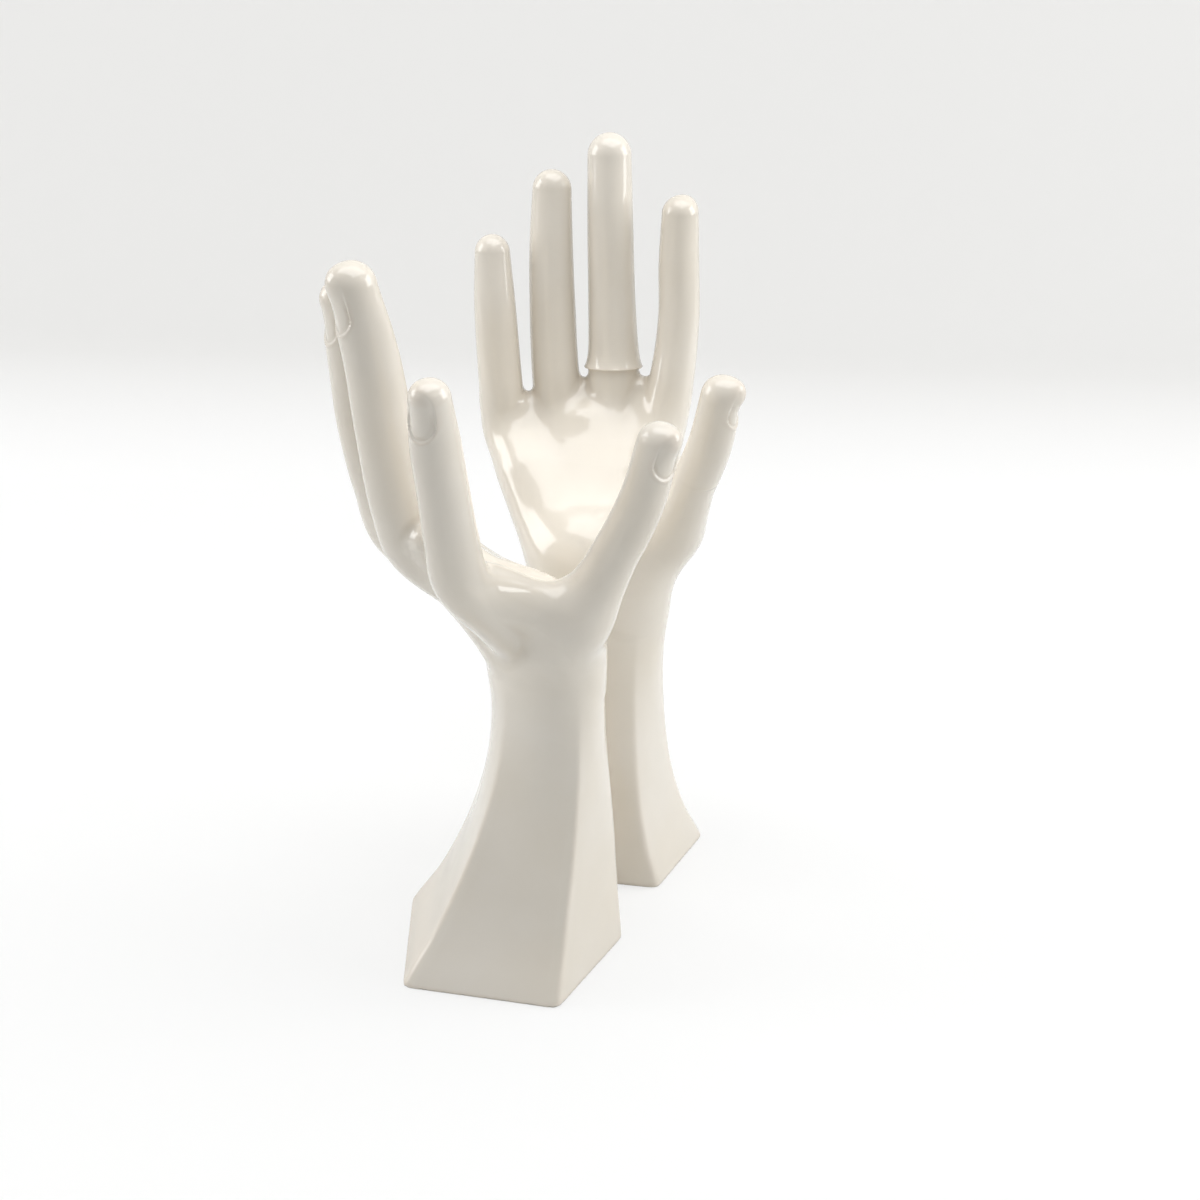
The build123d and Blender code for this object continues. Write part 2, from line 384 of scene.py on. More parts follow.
def add_nail(body, points, stroke, name):
    """Fills out the back of a fingertip and sinks the nail's bed into it."""
    nail_back = nail_backs[name]
    radius = stroke.tip_radius
    near = np.flatnonzero(np.linalg.norm(points - stroke.tip, axis=1) < radius * nail_search)
    if not len(near):
        return body
    sideways, out, along = nail_axes(stroke, nail_facings[name])
    offset = (points[near] - stroke.tip) / radius
    x, y, z = offset @ sideways, offset @ out, offset @ along
    edge_x = np.abs(x) - (nail_half_width - nail_corner)
    edge_z = np.abs(z - (nail_front + nail_back) / 2) - ((nail_front - nail_back) / 2 - nail_corner)
    outline = np.hypot(np.maximum(edge_x, 0), np.maximum(edge_z, 0))
    outline = (outline + np.minimum(np.maximum(edge_x, edge_z), 0) - nail_corner) * radius
    behind = smooth_step((y - 0.1) / 0.3)
    to_base = nail_tip_share + (1 - nail_tip_share) * smooth_step((0.3 - z) / 1.3)
    bed = nail_sink * smooth_step(0.5 - outline / nail_edge) * to_base
    fold = fold_height * np.exp(-(((outline - fold_width) / fold_width) ** 2)) * to_base
    from_fill = x**2 + (y - tip_fill_out) ** 2 + (z - tip_fill_along) ** 2
    fill = tip_fills[name] * np.exp(-from_fill / tip_fill_reach**2)
    body = body.copy()
    body[near] += behind * (bed - fold) - fill
    return body


# %% [markdown]
# ## One whole hand
# The palm is the sum of the five roots, a pad at the base of the thumb, a pad on the little finger's
# side, the middle of the palm, and the webs of skin between the digits. The blends fade out at the
# wrist, so that the forearm runs into the hand without a step.

# %% Hand recipe
palm_lumps = [
    # start, end, radii, blend width
    ((8, -19.0, 114), (20.0, -18.5, 147), 15.5, 8.8, 9.0),
    ((-10, -18, 120), (-33, 10, 156), 13.0, 8.5, 9.0),
    ((26, -15, 149), (16, 13, 162), 8.2, 8.2, 8.0),
    ((-4, -8, 126), (-12, 24, 170), 13.0, 8.5, 10.0),
    ((-14, 26, 168), (-15, 34.5, 179), 6.5, 5.5, 6.0),
    ((8, 25, 168), (8.5, 34.5, 182), 6.5, 5.5, 6.0),
    ((-33, 20, 160), (-36, 29, 173), 6.5, 5.5, 6.0),
]
palm_soft_reach = 2.8
wrist_top, wrist_fade, wrist_blend = 100.8, 43.0, 0.02

# how wide the digits' roots melt together: heights and widths
melt_heights, melt_widths = [142, 166, 184, 200], [11.0, 9.0, 3.5, 2.0]
melt_order = ("middle_finger", "ring_finger", "little_finger", "thumb", "index_finger")

# the folds under the hand, along a slanting line: where each starts and ends, and the widths there
slant = (0.74, -0.66)
index_fold = ([-98, -88], [11.0, 2.5])
other_fold = ([-98, -86], [11.0, 5.5])

# where the palm's own side ends: heights, and how far back it ends there
palm_heights, palm_backs = [110, 123, 134, 152, 175, 185], [-17, -14, -7, 10, 32, 36]
palm_margin, palm_fade = 2, 7

# the heights where the smoothed part of the palm starts and ends, each with its fade
palm_bottom, palm_top = (112, 14), (180, 12)


def palm_share(points):
    """One on the palm's own side of the hand, falling to nothing at the wrist, fingers and back."""
    height = points[:, 2]
    middle = np.interp(height, palm_heights, palm_backs)
    share = smooth_step((height - palm_bottom[0]) / palm_bottom[1])
    share = share * smooth_step((palm_top[0] - height) / palm_top[1])
    return share * smooth_step((middle + palm_margin - points[:, 1]) / palm_fade)


class Hand:
    """The strokes of one hand, and its field: the clay, with the inside of the palm smoothed."""

    def __init__(self, corners, shifts):
        self.foot_shape = foot_side_list(corners)
        self.strokes = {}
        for name, rows in digit_rows.items():
            self.strokes[name] = Stroke(rows, shifts.get(name, (0, 0, 0)), deepening[name])

    def field(self, points):
        value = self.clay(points)
        share = palm_share(points)
        palm = np.flatnonzero(share > 0)
        if len(palm):
            around = sum(self.clay(points[palm] + corner * palm_soft_reach) for corner in tetra) / 4
            value[palm] += share[palm] * (around - value[palm])
        return value

    def clay(self, points):
        value = arm_field(points, self.foot_shape)
        low = points[:, 2] < hollow_top + hollow_round
        foot = inside_both(value[low], -points[low, 2], lip_round)
        value[low] = carve(foot, hollow_field(points[low], self.foot_shape), hollow_edge_round)
        high = points[:, 2] > wrist_top
        upper = points[high]
        clay = value[high]
        above_wrist = smooth_step((upper[:, 2] - wrist_top) / wrist_fade)
        above_wrist = wrist_blend + (1 - wrist_blend) * above_wrist
        for start, end, start_radius, end_radius, width in palm_lumps:
            clay = blend(clay, lump(upper, start, end, start_radius, end_radius), width * above_wrist)
        melt = np.interp(upper[:, 2], melt_heights, melt_widths) * above_wrist
        behind = slant[0] * upper[:, 1] + slant[1] * upper[:, 2]
        for name in melt_order:
            stroke = self.strokes[name]
            digit = add_nail(stroke.field(upper), upper, stroke, name)
            fold = np.interp(behind, *(index_fold if name == "index_finger" else other_fold))
            clay = blend(clay, digit, np.minimum(melt, fold))
        value[high] = clay
        return value


# %% [markdown]
# ## From field to skin
# The field has to become a mesh. Blender's own voxel remesher would do it from overlapping solids,
# but it can't melt them first. The helper below lays a fine grid over the hand, puts one vertex in
# every grid cell that the surface passes through, and joins neighbours with quads. Then it lets the
# vertices slide apart evenly and pulls them exactly onto the surface.

# %% Skin builder
grid_step = 1.1
coarse_factor = 4


def sample_grid(field, low, high, step):
    """Field values on a grid, worked out exactly only near the surface."""
    counts = np.ceil((high - low) / (step * coarse_factor)).astype(int) + 1
    axes = [low[i] + np.arange(counts[i]) * step * coarse_factor for i in range(3)]
    coarse = np.stack(np.meshgrid(*axes, indexing="ij"), -1).reshape(-1, 3)
    values = field(coarse + step * (coarse_factor - 1) / 2).reshape(counts)
    for axis in range(3):
        values = np.repeat(values, coarse_factor, axis=axis)
    near = np.abs(values) < step * coarse_factor * 1.5
    spots = np.argwhere(near)
    values[near] = field(low + spots * step)
    return values


def surface_net(values, low, step):
    """One vertex in each cell that the surface crosses, and the quads that join them."""
    inside = values < 0
    cells = np.array(values.shape) - 1
    sums = np.zeros((int(np.prod(cells)), 3))
    hits = np.zeros(int(np.prod(cells)))
    quads = []
    strides = np.array([cells[1] * cells[2], cells[2], 1])
    for axis in range(3):
        front = [slice(None)] * 3
        rear = [slice(None)] * 3
        front[axis], rear[axis] = slice(0, -1), slice(1, None)
        first, second = values[tuple(front)], values[tuple(rear)]
        spots = np.argwhere(inside[tuple(front)] != inside[tuple(rear)])
        start, end = first[tuple(spots.T)], second[tuple(spots.T)]
        place = spots.astype(float)
        place[:, axis] += start / (start - end)
        side, other = (axis + 1) % 3, (axis + 2) % 3
        corners = []
        for step_side, step_other in ((0, 0), (1, 0), (1, 1), (0, 1)):
            cell = spots.copy()
            cell[:, side] -= step_side
            cell[:, other] -= step_other
            number = cell @ strides
            for column in range(3):
                sums[:, column] += np.bincount(number, place[:, column], len(hits))
            hits += np.bincount(number, minlength=len(hits))
            corners.append(number)
        quad = np.stack(corners, 1)
        flip = start > 0
        quad[flip] = quad[flip][:, ::-1]
        quads.append(quad)
    used = hits > 0
    renumber = np.cumsum(used) - 1
    points = low + sums[used] / hits[used][:, None] * step
    return points, renumber[np.concatenate(quads)]


def value_and_slope(field, points, reach=0.25):
    """The field and its slope at points, from four samples round each."""
    around = [field(points + corner * reach) for corner in tetra]
    slope = sum(corner[None] * sample[:, None] for corner, sample in zip(tetra, around))
    return sum(around) / 4, slope / (4 * reach)


def pull_to_surface(field, points, most=1.0):
    """Moves points down the slope onto the surface, by no more than a limit. Returns the slope too."""
    value, slope = value_and_slope(field, points)
    size = np.maximum((slope**2).sum(1), 0.05)
    move = -(value / size)[:, None] * slope
    length = np.linalg.norm(move, axis=1)[:, None]
    return points + move * np.minimum(1, most / np.maximum(length, 1e-9)), slope


def settle(field, points, quads, rounds):
    """Evens out the mesh along the surface and pulls it onto the surface."""
    links = np.concatenate([quads[:, [i, (i + 1) % 4]] for i in range(4)])
    counts = np.bincount(links[:, 0], minlength=len(points))[:, None]
    for _ in range(rounds):
        points, slope = pull_to_surface(field, points)
        normal = slope / np.linalg.norm(slope, axis=1)[:, None]
        total = [np.bincount(links[:, 0], points[links[:, 1], i], len(points)) for i in range(3)]
        shift = np.stack(total, 1) / counts - points
        shift -= (shift * normal).sum(1)[:, None] * normal
        points = points + 0.5 * shift
    for _ in range(2):
        points = pull_to_surface(field, points)[0]
    return points


# %% [markdown]
# ## Casting skins
# A casting is everything below the digits' seams: the palm with its five stumps, the forearm and the
# hollow foot with its flat rim. One net holds all of it, inside and out, so the wall is a real wall.

# %% Net of each casting
net_low = np.array([-60.0, -52.0, -3.0])
net_high = np.array([50.0, 54.0, 202.0])
settle_rounds = 3
hands = {"left": Hand(foot_corners["left"], left_shifts), "right": Hand(foot_corners["right"], {})}
nets = {}
for side, hand in hands.items():
    values = sample_grid(hand.field, net_low, net_high, grid_step)
    points, quads = surface_net(values, net_low, grid_step)
    points = settle(hand.field, points, quads, settle_rounds)
    nets[side] = (points, quads)
    print(side, "net:", len(points), "points,", len(quads), "quads")

# %% [markdown]
# ## Cutting at the seams
# The digits were made apart and stuck on with slip, each at a flat seam. The net is cut with the plane
# of each seam, what lies beyond it is thrown away, and the open stump is closed with a flat face, so
# that every piece is a closed body that could be made by itself.

# %% Seam cuts
# how near a digit's own surface a face has to lie to be cut off with it
finger_slack, thumb_slack = 1.5, 5.0
weld, on_cut = 0.001, 0.05


def cut_at_seam(shell, stroke, slack):
    """Cuts one digit off a casting's net and closes the stump."""
    middle, _, way = stroke.seam

    def measure(faces):
        centres = np.array([face.calc_center_median() for face in faces])
        return (centres - middle) @ way, stroke.field(centres) < slack

    faces = list(shell.faces)
    ahead, own = measure(faces)
    band = [faces[i] for i in np.flatnonzero(own & (np.abs(ahead) < 2 * grid_step))]
    near = list({item for face in band for item in (face, *face.edges, *face.verts)})
    bmesh.ops.bisect_plane(shell, geom=near, dist=weld, plane_co=middle, plane_no=way)
    faces = list(shell.faces)
    ahead, own = measure(faces)
    beyond = [faces[i] for i in np.flatnonzero(own & (ahead > 0))]
    bmesh.ops.delete(shell, geom=beyond, context="FACES")
    open_edges = [edge for edge in shell.edges if edge.is_boundary]
    places = np.array([(edge.verts[0].co + edge.verts[1].co) / 2 for edge in open_edges])
    at_cut = (np.abs((places - middle) @ way) < on_cut) & (stroke.field(places) < slack)
    rim = [open_edges[i] for i in np.flatnonzero(at_cut)]
    cap = bmesh.ops.edgeloop_fill(shell, edges=rim)["faces"]
    bmesh.ops.poke(shell, faces=cap)
    return len(rim)


castings = {}
for side, (points, quads) in nets.items():
    mesh = bpy.data.meshes.new(side + "_body_casting_skin")
    mesh.from_pydata(points.tolist(), [], quads.tolist())
    shell = bmesh.new()
    shell.from_mesh(mesh)
    rims = [
        cut_at_seam(shell, stroke, thumb_slack if name == "thumb" else finger_slack)
        for name, stroke in hands[side].strokes.items()
    ]
    bmesh.ops.recalc_face_normals(shell, faces=shell.faces)
    shell.to_mesh(mesh)
    still_open = sum(edge.is_boundary for edge in shell.edges)
    shell.free()
    castings[side] = mesh
    print(side, "casting: seam edges", rims, "open edges", still_open)

# %% [markdown]
# ## Digit skins
# A digit could be cut from a net too, but its nail needs a finer mesh than its shaft. So each digit is
# a stack of rings round its centre line, close together near the nail, and each point of a ring walks
# outwards until it meets the surface. The rings end in a dome at the tip. One fault is known: the faces
# below turn inwards, so each digit's mesh is closed but inside out.

# %% Rings of a digit
ring_points = 104
shaft_step = 1.3
nail_step = 0.42
nail_zone = 19.0
shared_zone = 22
first_rings = [0.0, 0.12, 0.27, 0.45, 0.7, 1.05, 1.5, 2.2, 3.2]


def ring_levels(stroke):
    """Heights of the rings from the seam to the middle of the tip."""
    heights = np.linspace(stroke.seam_height, stroke.high, 400)
    middles = stroke.at(heights)[0]
    run = np.concatenate([[0], np.cumsum(np.linalg.norm(np.diff(middles, axis=0), axis=1))])
    shaft = run[-1] - nail_zone
    shaft_count = max(int(shaft / shaft_step), 2)
    low = np.linspace(first_rings[-1] + shaft_step, shaft, shaft_count, endpoint=False)
    stops = np.concatenate([first_rings, low, np.linspace(shaft, run[-1], int(nail_zone / nail_step))])
    return np.interp(stops, run, heights)


def walk_out(field, middles, ways, start, rounds=14):
    """Walks from inside the clay to its surface."""
    reach = np.full(len(ways), float(start))
    for _ in range(rounds):
        reach = reach - field(middles + ways * reach[:, None])
    return middles + ways * reach[:, None]


def digit_rings(stroke, full_field, own_field):
    """Points of a digit's skin as rings, and the faces that join them."""
    heights = ring_levels(stroke)
    middles, _, ways = stroke.at(heights)
    turn = np.linspace(0, 2 * math.pi, ring_points, endpoint=False)
    across = np.cross(ways, [0.0, 1.0, 0.0])
    across = across / np.linalg.norm(across, axis=1)[:, None]
    back = np.cross(across, ways)
    spokes = across[:, None] * np.cos(turn)[None, :, None] + back[:, None] * np.sin(turn)[None, :, None]
    dome = np.arange(nail_step, 90, math.degrees(nail_step / stroke.tip_radius))
    rise = np.radians(dome)[:, None, None]
    dome_spokes = spokes[-1][None] * np.cos(rise) + ways[-1] * np.sin(rise)
    centres = np.concatenate([middles, np.repeat(middles[-1:], len(dome), axis=0)])
    centres = np.repeat(centres, ring_points, axis=0)
    directions = np.concatenate([spokes, dome_spokes]).reshape(-1, 3)
    shared_rings = np.searchsorted(heights, stroke.seam_height + shared_zone)
    shared = np.arange(len(centres)) < shared_rings * ring_points
    start = 0.45 * stroke.tip_radius
    points = np.empty_like(centres)
    points[shared] = walk_out(full_field, centres[shared], directions[shared], start)
    points[~shared] = walk_out(own_field, centres[~shared], directions[~shared], start)
    pole = walk_out(own_field, middles[-1:], ways[-1:], start)
    points = np.concatenate([points, pole, middles[:1]])
    count = len(heights) + len(dome)
    grid = np.arange(count * ring_points).reshape(count, ring_points)
    right = np.roll(grid, -1, axis=1)
    faces = np.stack([grid[:-1], right[:-1], right[1:], grid[1:]], -1).reshape(-1, 4).tolist()
    faces += [[a, b, len(points) - 2] for a, b in zip(grid[-1], right[-1])]
    faces += [[b, a, len(points) - 1] for a, b in zip(grid[0], right[0])]
    return points, faces


# %% [markdown]
# ## The ledge on one finger
# On the hand at the back the middle finger wasn't wiped smooth where it was stuck on. Its foot flares a
# little and stands proud of the stump, with a line of shadow under it. This finger's skin follows its
# own field alone, with the flare added, so its stump stays as it was.

# %% Flared foot of a finger
flared_digit = ("right", "middle_finger")
ledge_out, ledge_fade, ledge_round = 1.7, 3.0, 0.5


def ledge(points, stroke):
    """How far the foot of the finger stands out at each point."""
    middle, _, way = stroke.seam
    above = np.maximum((points - middle) @ way, 0)
    flare = ledge_out * np.exp(-above / ledge_fade)
    return flare - ledge_round * np.maximum(1 - above / ledge_round, 0) ** 2


def digit_fields(side, name):
    """The field that a digit's lower part follows, and the digit's own field."""
    stroke = hands[side].strokes[name]
    flared = (side, name) == flared_digit

    def own_field(points):
        own = add_nail(stroke.field(points), points, stroke, name)
        return own - ledge(points, stroke) if flared else own

    return (own_field if flared else hands[side].field), own_field


digit_skins = {}
for side, hand in hands.items():
    for name, stroke in hand.strokes.items():
        digit_skins[side, name] = digit_rings(stroke, *digit_fields(side, name))
        points, faces = digit_skins[side, name]
        print(side, name, len(points), "points,", len(faces), "faces")

# %% [markdown]
# ## Where the hands stand
# The left hand is the mirror image of the right one, turned to show its thumb side. Both are moved so
# that the middle of the pair is at the origin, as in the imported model.

# %% Places
pair_middle = np.array([-8.749, -42.202, 0.0])
foot_places = {
    "left": (np.array([0.0, 0.0, 0.0]), 119.0),
    "right": (np.array([35.0, 77.0, 0.0]), -7.0),
}


def stand(side, points, direction=False):
    """Moves points of a right hand's frame to where that side's hand stands, in metres."""
    place, degrees = foot_places[side]
    points = np.array(points, float)
    if side == "left":
        points[:, 0] *= -1
    cosine, sine = math.cos(math.radians(degrees)), math.sin(math.radians(degrees))
    points = points @ np.array([[cosine, sine, 0], [-sine, cosine, 0], [0, 0, 1]])
    if direction:
        return points
    return (points + place + pair_middle) / 1000


# %% [markdown]
# ## The glaze
# A dipped glaze is one warm white all over, but never quite even. In the creases it is darkened a little,
# as painted shade, and it runs thin over sharp edges, where the clay warms it. How hollow or how sharp
# the surface is at a point can be read from the field, so each point stores that as a colour. The shader
# mixes three whites by it, the painted shade among them, adds a slow cloudiness, and lets the surface
# wave very slightly.
# The foot rim is wiped clean before firing, so it shows bare clay, as does the hollow.

# %% Materials
def node(tree, kind, **inputs):
    """Adds a shader node and fills in its sockets by name."""
    made = tree.nodes.new(kind)
    for key, value in inputs.items():
        made.inputs[key.replace("_", " ")].default_value = value
    return made


def noise(tree, place, scale, detail):
    """A noise pattern at a place."""
    made = node(tree, "ShaderNodeTexNoise", Scale=scale, Detail=detail)
    tree.links.new(place, made.inputs["Vector"])
    return made.outputs["Fac"]


def between(tree, factor, low, high, to_low=0.0, to_high=1.0):
    """Maps a value from one range to another."""
    made = tree.nodes.new("ShaderNodeMapRange")
    for socket, value in zip(("From Min", "From Max", "To Min", "To Max"), (low, high, to_low, to_high)):
        made.inputs[socket].default_value = value
    tree.links.new(factor, made.inputs["Value"])
    return made.outputs["Result"]


def mix_colours(tree, factor, first, second):
    """Mixes two colours, each a socket or a plain colour."""
    made = tree.nodes.new("ShaderNodeMix")
    made.data_type = "RGBA"
    tree.links.new(factor, made.inputs["Factor"])
    for socket, value in ((made.inputs[6], first), (made.inputs[7], second)):
        if isinstance(value, tuple):
            socket.default_value = (*value, 1)
        else:
            tree.links.new(value, socket)
    return made.outputs[2]


glaze_white = (0.788, 0.736, 0.655)
glaze_cloud = (0.765, 0.706, 0.612)
# painted shade: the darker colour that the hollows of the creases get
glaze_crease_shade = (0.670, 0.600, 0.505)
glaze_thin = (0.755, 0.685, 0.595)
clay_pale, clay_dark = (0.70, 0.63, 0.53), (0.58, 0.51, 0.42)

glaze = bpy.data.materials.new("warm_white_glaze")
glaze.use_nodes = True
tree = glaze.node_tree
shader = tree.nodes["Principled BSDF"]
place = tree.nodes.new("ShaderNodeTexCoord").outputs["Object"]
form = tree.nodes.new("ShaderNodeAttribute")
form.attribute_name = "form"
cloud = between(tree, noise(tree, place, 26, 3), 0.35, 0.68)
colour = mix_colours(tree, cloud, glaze_white, glaze_cloud)
# painted shade: the glaze is darkened where the surface is hollow, in the creases
colour = mix_colours(tree, between(tree, form.outputs["Fac"], 0.50, 0.18), colour, glaze_crease_shade)
colour = mix_colours(tree, between(tree, form.outputs["Fac"], 0.66, 0.95), colour, glaze_thin)
tree.links.new(colour, shader.inputs["Base Color"])
tree.links.new(between(tree, noise(tree, place, 90, 2), 0.3, 0.7, 0.12, 0.20), shader.inputs["Roughness"])
shader.inputs["IOR"].default_value = 1.52
shader.inputs["Coat Weight"].default_value = 0.5
shader.inputs["Coat Roughness"].default_value = 0.04
slow_wave = node(tree, "ShaderNodeBump", Strength=0.30, Distance=0.0006)
tree.links.new(noise(tree, place, 55, 1), slow_wave.inputs["Height"])
fine_wave = node(tree, "ShaderNodeBump", Strength=0.12, Distance=0.0001)
tree.links.new(noise(tree, place, 420, 2), fine_wave.inputs["Height"])
tree.links.new(slow_wave.outputs["Normal"], fine_wave.inputs["Normal"])
tree.links.new(fine_wave.outputs["Normal"], shader.inputs["Normal"])

bare_clay = bpy.data.materials.new("bare_clay")
bare_clay.use_nodes = True
tree = bare_clay.node_tree
shader = tree.nodes["Principled BSDF"]
place = tree.nodes.new("ShaderNodeTexCoord").outputs["Object"]
grains = between(tree, noise(tree, place, 500, 4), 0.3, 0.7)
tree.links.new(mix_colours(tree, grains, clay_pale, clay_dark), shader.inputs["Base Color"])
shader.inputs["Roughness"].default_value = 0.85
grit = node(tree, "ShaderNodeBump", Strength=0.5, Distance=0.0002)
tree.links.new(noise(tree, place, 900, 3), grit.inputs["Height"])
tree.links.new(grit.outputs["Normal"], shader.inputs["Normal"])
print("materials:", glaze.name, bare_clay.name)

# %% [markdown]
# ## Dressing the pieces
# The shading direction at each point of a casting comes from the field as well, not from the faces
# round it, and flat caps keep their own direction. The digits were meant to follow the field too, so
# that two pieces shade alike at a seam. As their faces turn inwards, all of them count as flat here,
# and keep their own direction.

# %% Dressing
form_reach, form_strength = 1.3, 0.9
flat_cap_limit = 0.5
bare_above_hollow, bare_share, rim_height = 2, 0.4, 0.3


def dress(name, mesh, side, field):
    """Turns a mesh in the hand's frame into a finished piece of the pair."""
    points = np.empty(len(mesh.vertices) * 3)
    mesh.vertices.foreach_get("co", points)
    points = points.reshape(-1, 3)
    slope = value_and_slope(field, points)[1]
    slope = slope / np.maximum(np.linalg.norm(slope, axis=1), 1e-9)[:, None]
    # how hollow or sharp each point is; the glaze darkens the hollows by it as painted shade
    form = 0.5 + form_strength * value_and_slope(field, points, form_reach)[0]
    shades = mesh.color_attributes.new("form", "FLOAT_COLOR", "POINT")
    values = np.repeat(np.clip(form, 0, 1)[:, None], 4, axis=1)
    shades.data.foreach_set("color", values.ravel())

    face_count = len(mesh.polygons)
    face_ways, face_middles = np.empty(face_count * 3), np.empty(face_count * 3)
    mesh.polygons.foreach_get("normal", face_ways)
    mesh.polygons.foreach_get("center", face_middles)
    face_ways, face_middles = face_ways.reshape(-1, 3), face_middles.reshape(-1, 3)
    corners = np.empty(len(mesh.loops), int)
    mesh.loops.foreach_get("vertex_index", corners)
    totals = np.empty(face_count, int)
    mesh.polygons.foreach_get("loop_total", totals)
    starts = np.concatenate([[0], np.cumsum(totals)[:-1]])
    face_of = np.repeat(np.arange(face_count), totals)
    along = (slope[corners] * face_ways[face_of]).sum(1)
    flat = np.minimum.reduceat(along, starts) < flat_cap_limit
    shading = np.where(flat[face_of][:, None], face_ways[face_of], slope[corners])

    inside = face_middles[:, 2] < hollow_top + bare_above_hollow
    bare = np.zeros(face_count, bool)
    if inside.any():
        hollow = hollow_field(face_middles[inside], hands[side].foot_shape)
        bare[inside] = (hollow < wall * bare_share) | (face_middles[inside, 2] < rim_height)
    mesh.polygons.foreach_set("material_index", bare.astype(int))
    mesh.polygons.foreach_set("use_smooth", np.ones(face_count, bool))

    spots = stand(side, points)
    spots[:, 2] = np.maximum(spots[:, 2], 0)
    mesh.vertices.foreach_set("co", spots.ravel())
    if side == "left":
        mesh.flip_normals()
        within = np.arange(len(corners)) - starts[face_of]
        flipped = starts[face_of] + np.where(within == 0, 0, totals[face_of] - within)
        shading = shading[flipped]
    mesh.materials.append(glaze)
    mesh.materials.append(bare_clay)
    mesh.normals_split_custom_set(stand(side, shading, True).tolist())
    mesh.update()
    piece = bpy.data.objects.new(name, mesh)
    bpy.context.scene.collection.objects.link(piece)
    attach(piece, side + "_hand")
    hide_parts(name.removesuffix("_skin"))


for side, mesh in castings.items():
    dress(side + "_body_casting_skin", mesh, side, hands[side].field)
for (side, name), (points, faces) in digit_skins.items():
    mesh = bpy.data.meshes.new(f"{side}_{name}_skin")
    mesh.from_pydata(points.tolist(), [], faces)
    dress(f"{side}_{name}_skin", mesh, side, digit_fields(side, name)[0])
print("dressed pieces:", len(castings) + len(digit_skins))

# %% [markdown]
# ## Table, backdrop and light
# The hands stand on a white table that bends up into a pale wall behind them. Large soft lamps above
# and to both sides leave the faces towards the camera a little darker than the edges, as in the
# photograph. The table and wall show the camera their own pale colour, mixed with the light that falls
# on them, so that the table keeps the shadow of the feet. Seen from behind or below, both are clear, so
# that they never hide the hands.

# %% Table and backdrop
wall_line, bend_radius, wall_top, stage_half = 0.42, 0.06, 1.6, 2.2
table_front, table_break = -2.0, -0.6
bend_steps = 12
bend_start = wall_line - bend_radius
profile = [(table_front, 0.0), (table_break, 0.0), (bend_start, 0.0)]
for step in range(1, bend_steps + 1):
    turn_up = math.pi / 2 * step / bend_steps
    profile.append((bend_start + bend_radius * math.sin(turn_up), bend_radius * (1 - math.cos(turn_up))))
profile.append((wall_line, wall_top))
table_mesh = bpy.data.meshes.new("table_and_wall")
table_points = [(x, y, z) for y, z in profile for x in (-stage_half, stage_half)]
table_faces = [(2 * i, 2 * i + 1, 2 * i + 3, 2 * i + 2) for i in range(len(profile) - 1)]
table_mesh.from_pydata(table_points, [], table_faces)
table_mesh.polygons.foreach_set("use_smooth", [True] * len(table_mesh.polygons))
table = bpy.data.objects.new("table_and_wall", table_mesh)
bpy.context.scene.collection.objects.link(table)
table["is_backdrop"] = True

table_shown, wall_shown, paper_lit = (0.97, 0.97, 0.97), (0.845, 0.838, 0.825), (0.72, 0.72, 0.71, 1)
shown_share, shown_strength = 0.6, 1.12
paper = bpy.data.materials.new("white_paper")
paper.use_nodes = True
tree = paper.node_tree
tree.nodes.clear()
place = tree.nodes.new("ShaderNodeTexCoord").outputs["Object"]
split = tree.nodes.new("ShaderNodeSeparateXYZ")
tree.links.new(place, split.inputs["Vector"])
up_the_wall = between(tree, split.outputs["Z"], 0.0, 0.05)
shown = mix_colours(tree, up_the_wall, table_shown, wall_shown)
lit = node(tree, "ShaderNodeBsdfDiffuse", Color=paper_lit)
glow = node(tree, "ShaderNodeEmission", Strength=shown_strength)
tree.links.new(shown, glow.inputs["Color"])
share = tree.nodes.new("ShaderNodeMath")
share.operation = "MULTIPLY"
tree.links.new(tree.nodes.new("ShaderNodeLightPath").outputs["Is Camera Ray"], share.inputs[0])
share.inputs[1].default_value = shown_share
blend_node = tree.nodes.new("ShaderNodeMixShader")
tree.links.new(share.outputs[0], blend_node.inputs[0])
tree.links.new(lit.outputs[0], blend_node.inputs[1])
tree.links.new(glow.outputs[0], blend_node.inputs[2])
unseen = tree.nodes.new("ShaderNodeMixShader")
tree.links.new(tree.nodes.new("ShaderNodeNewGeometry").outputs["Backfacing"], unseen.inputs[0])
tree.links.new(blend_node.outputs[0], unseen.inputs[1])
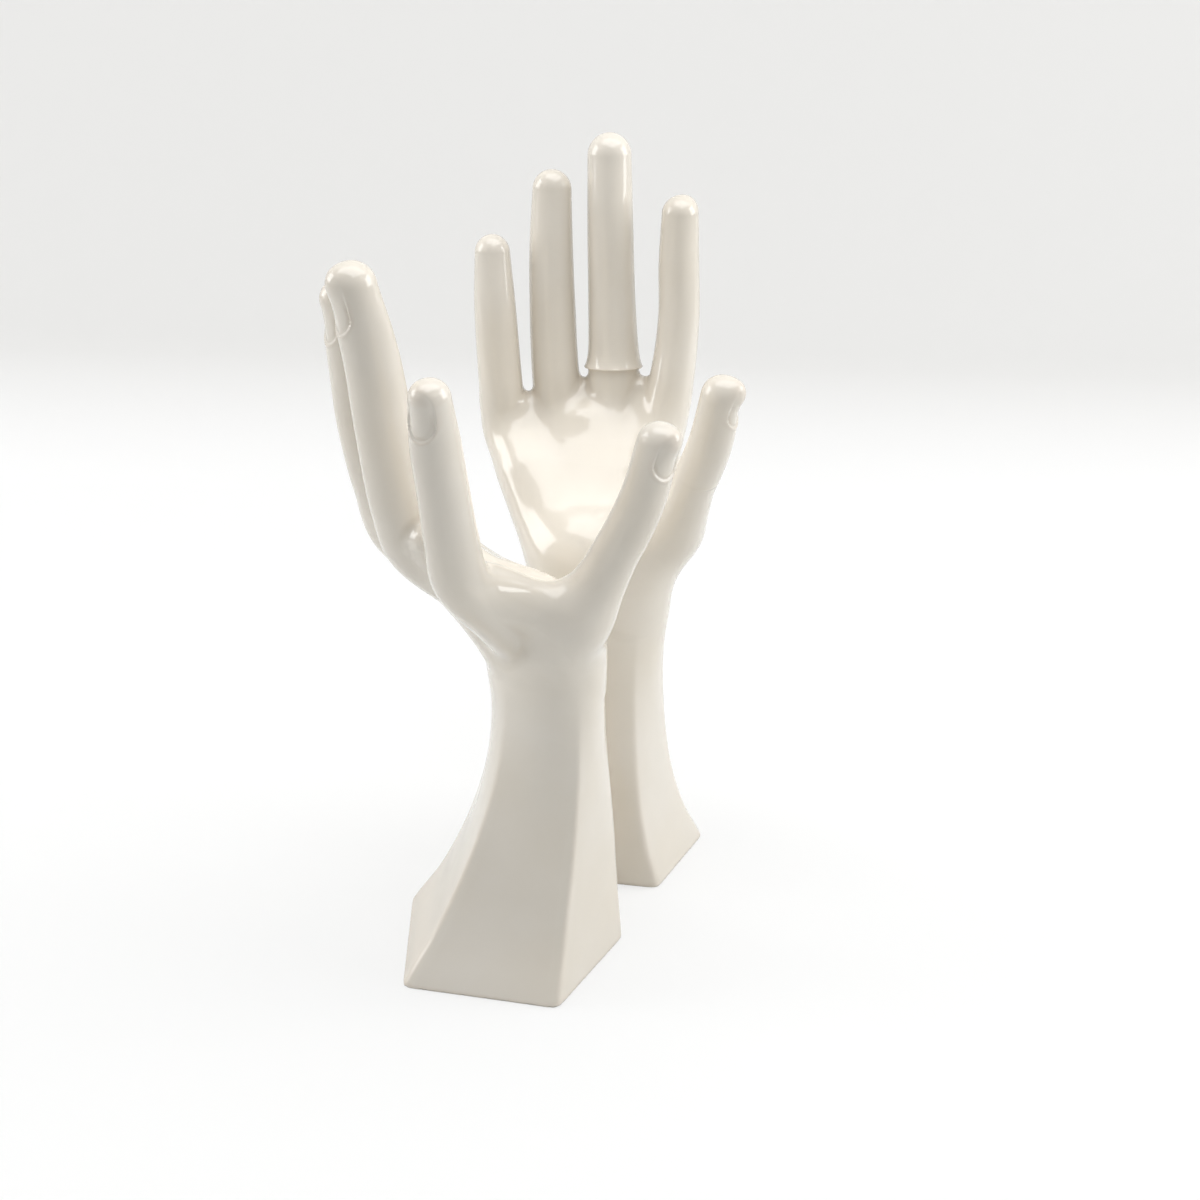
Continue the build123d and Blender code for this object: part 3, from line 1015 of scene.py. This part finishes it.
tree.links.new(tree.nodes.new("ShaderNodeBsdfTransparent").outputs[0], unseen.inputs[2])
tree.links.new(unseen.outputs[0], tree.nodes.new("ShaderNodeOutputMaterial").inputs["Surface"])
table_mesh.materials.append(paper)

# %% Lamps
lamp_rows = [
    # name, place, size, power, where it points
    ("lamp_above", (0.10, 0.15, 1.25), 1.3, 13.0, (0.0, 0.0, 0.1)),
    ("lamp_right", (1.15, 0.15, 0.60), 0.8, 7.8, (0.0, 0.0, 0.12)),
    ("lamp_left", (-1.15, 0.20, 0.60), 0.8, 7.4, (0.0, 0.0, 0.12)),
]
for name, spot, size, power, target in lamp_rows:
    lamp_data = bpy.data.lights.new(name, "AREA")
    lamp_data.energy = power
    lamp_data.size = size
    lamp = bpy.data.objects.new(name, lamp_data)
    aim = (Vector(target) - Vector(spot)).to_track_quat("-Z", "Y")
    lamp.matrix_world = Matrix.Translation(spot) @ aim.to_matrix().to_4x4()
    bpy.context.scene.collection.objects.link(lamp)

light_colour, light_strength = (0.96, 0.98, 1.0, 1), 0.41
world = bpy.data.worlds.new("room")
bpy.context.scene.world = world
world.use_nodes = True
tree = world.node_tree
room_light = tree.nodes["Background"]
room_light.inputs["Color"].default_value = light_colour
room_light.inputs["Strength"].default_value = light_strength
room_seen = node(tree, "ShaderNodeBackground", Color=(0.800, 0.800, 0.795, 1), Strength=1.0)
room = tree.nodes.new("ShaderNodeMixShader")
tree.links.new(tree.nodes.new("ShaderNodeLightPath").outputs["Is Camera Ray"], room.inputs[0])
tree.links.new(room_light.outputs[0], room.inputs[1])
tree.links.new(room_seen.outputs[0], room.inputs[2])
tree.links.new(room.outputs[0], tree.nodes["World Output"].inputs["Surface"])
bpy.context.scene.view_settings.view_transform = "Standard"
print("lamps:", len(lamp_rows))

# %% [markdown]
# ## The boxes
# The box of the dressed pair is written beside the imported model's box, to show that the skin kept the
# real size.

# %% Finish
boxes = {"cad": cad_box, "visual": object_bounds()}
boxes = {kind: [list(corner) for corner in box] for kind, box in boxes.items()}
print("boxes in metres:", boxes)
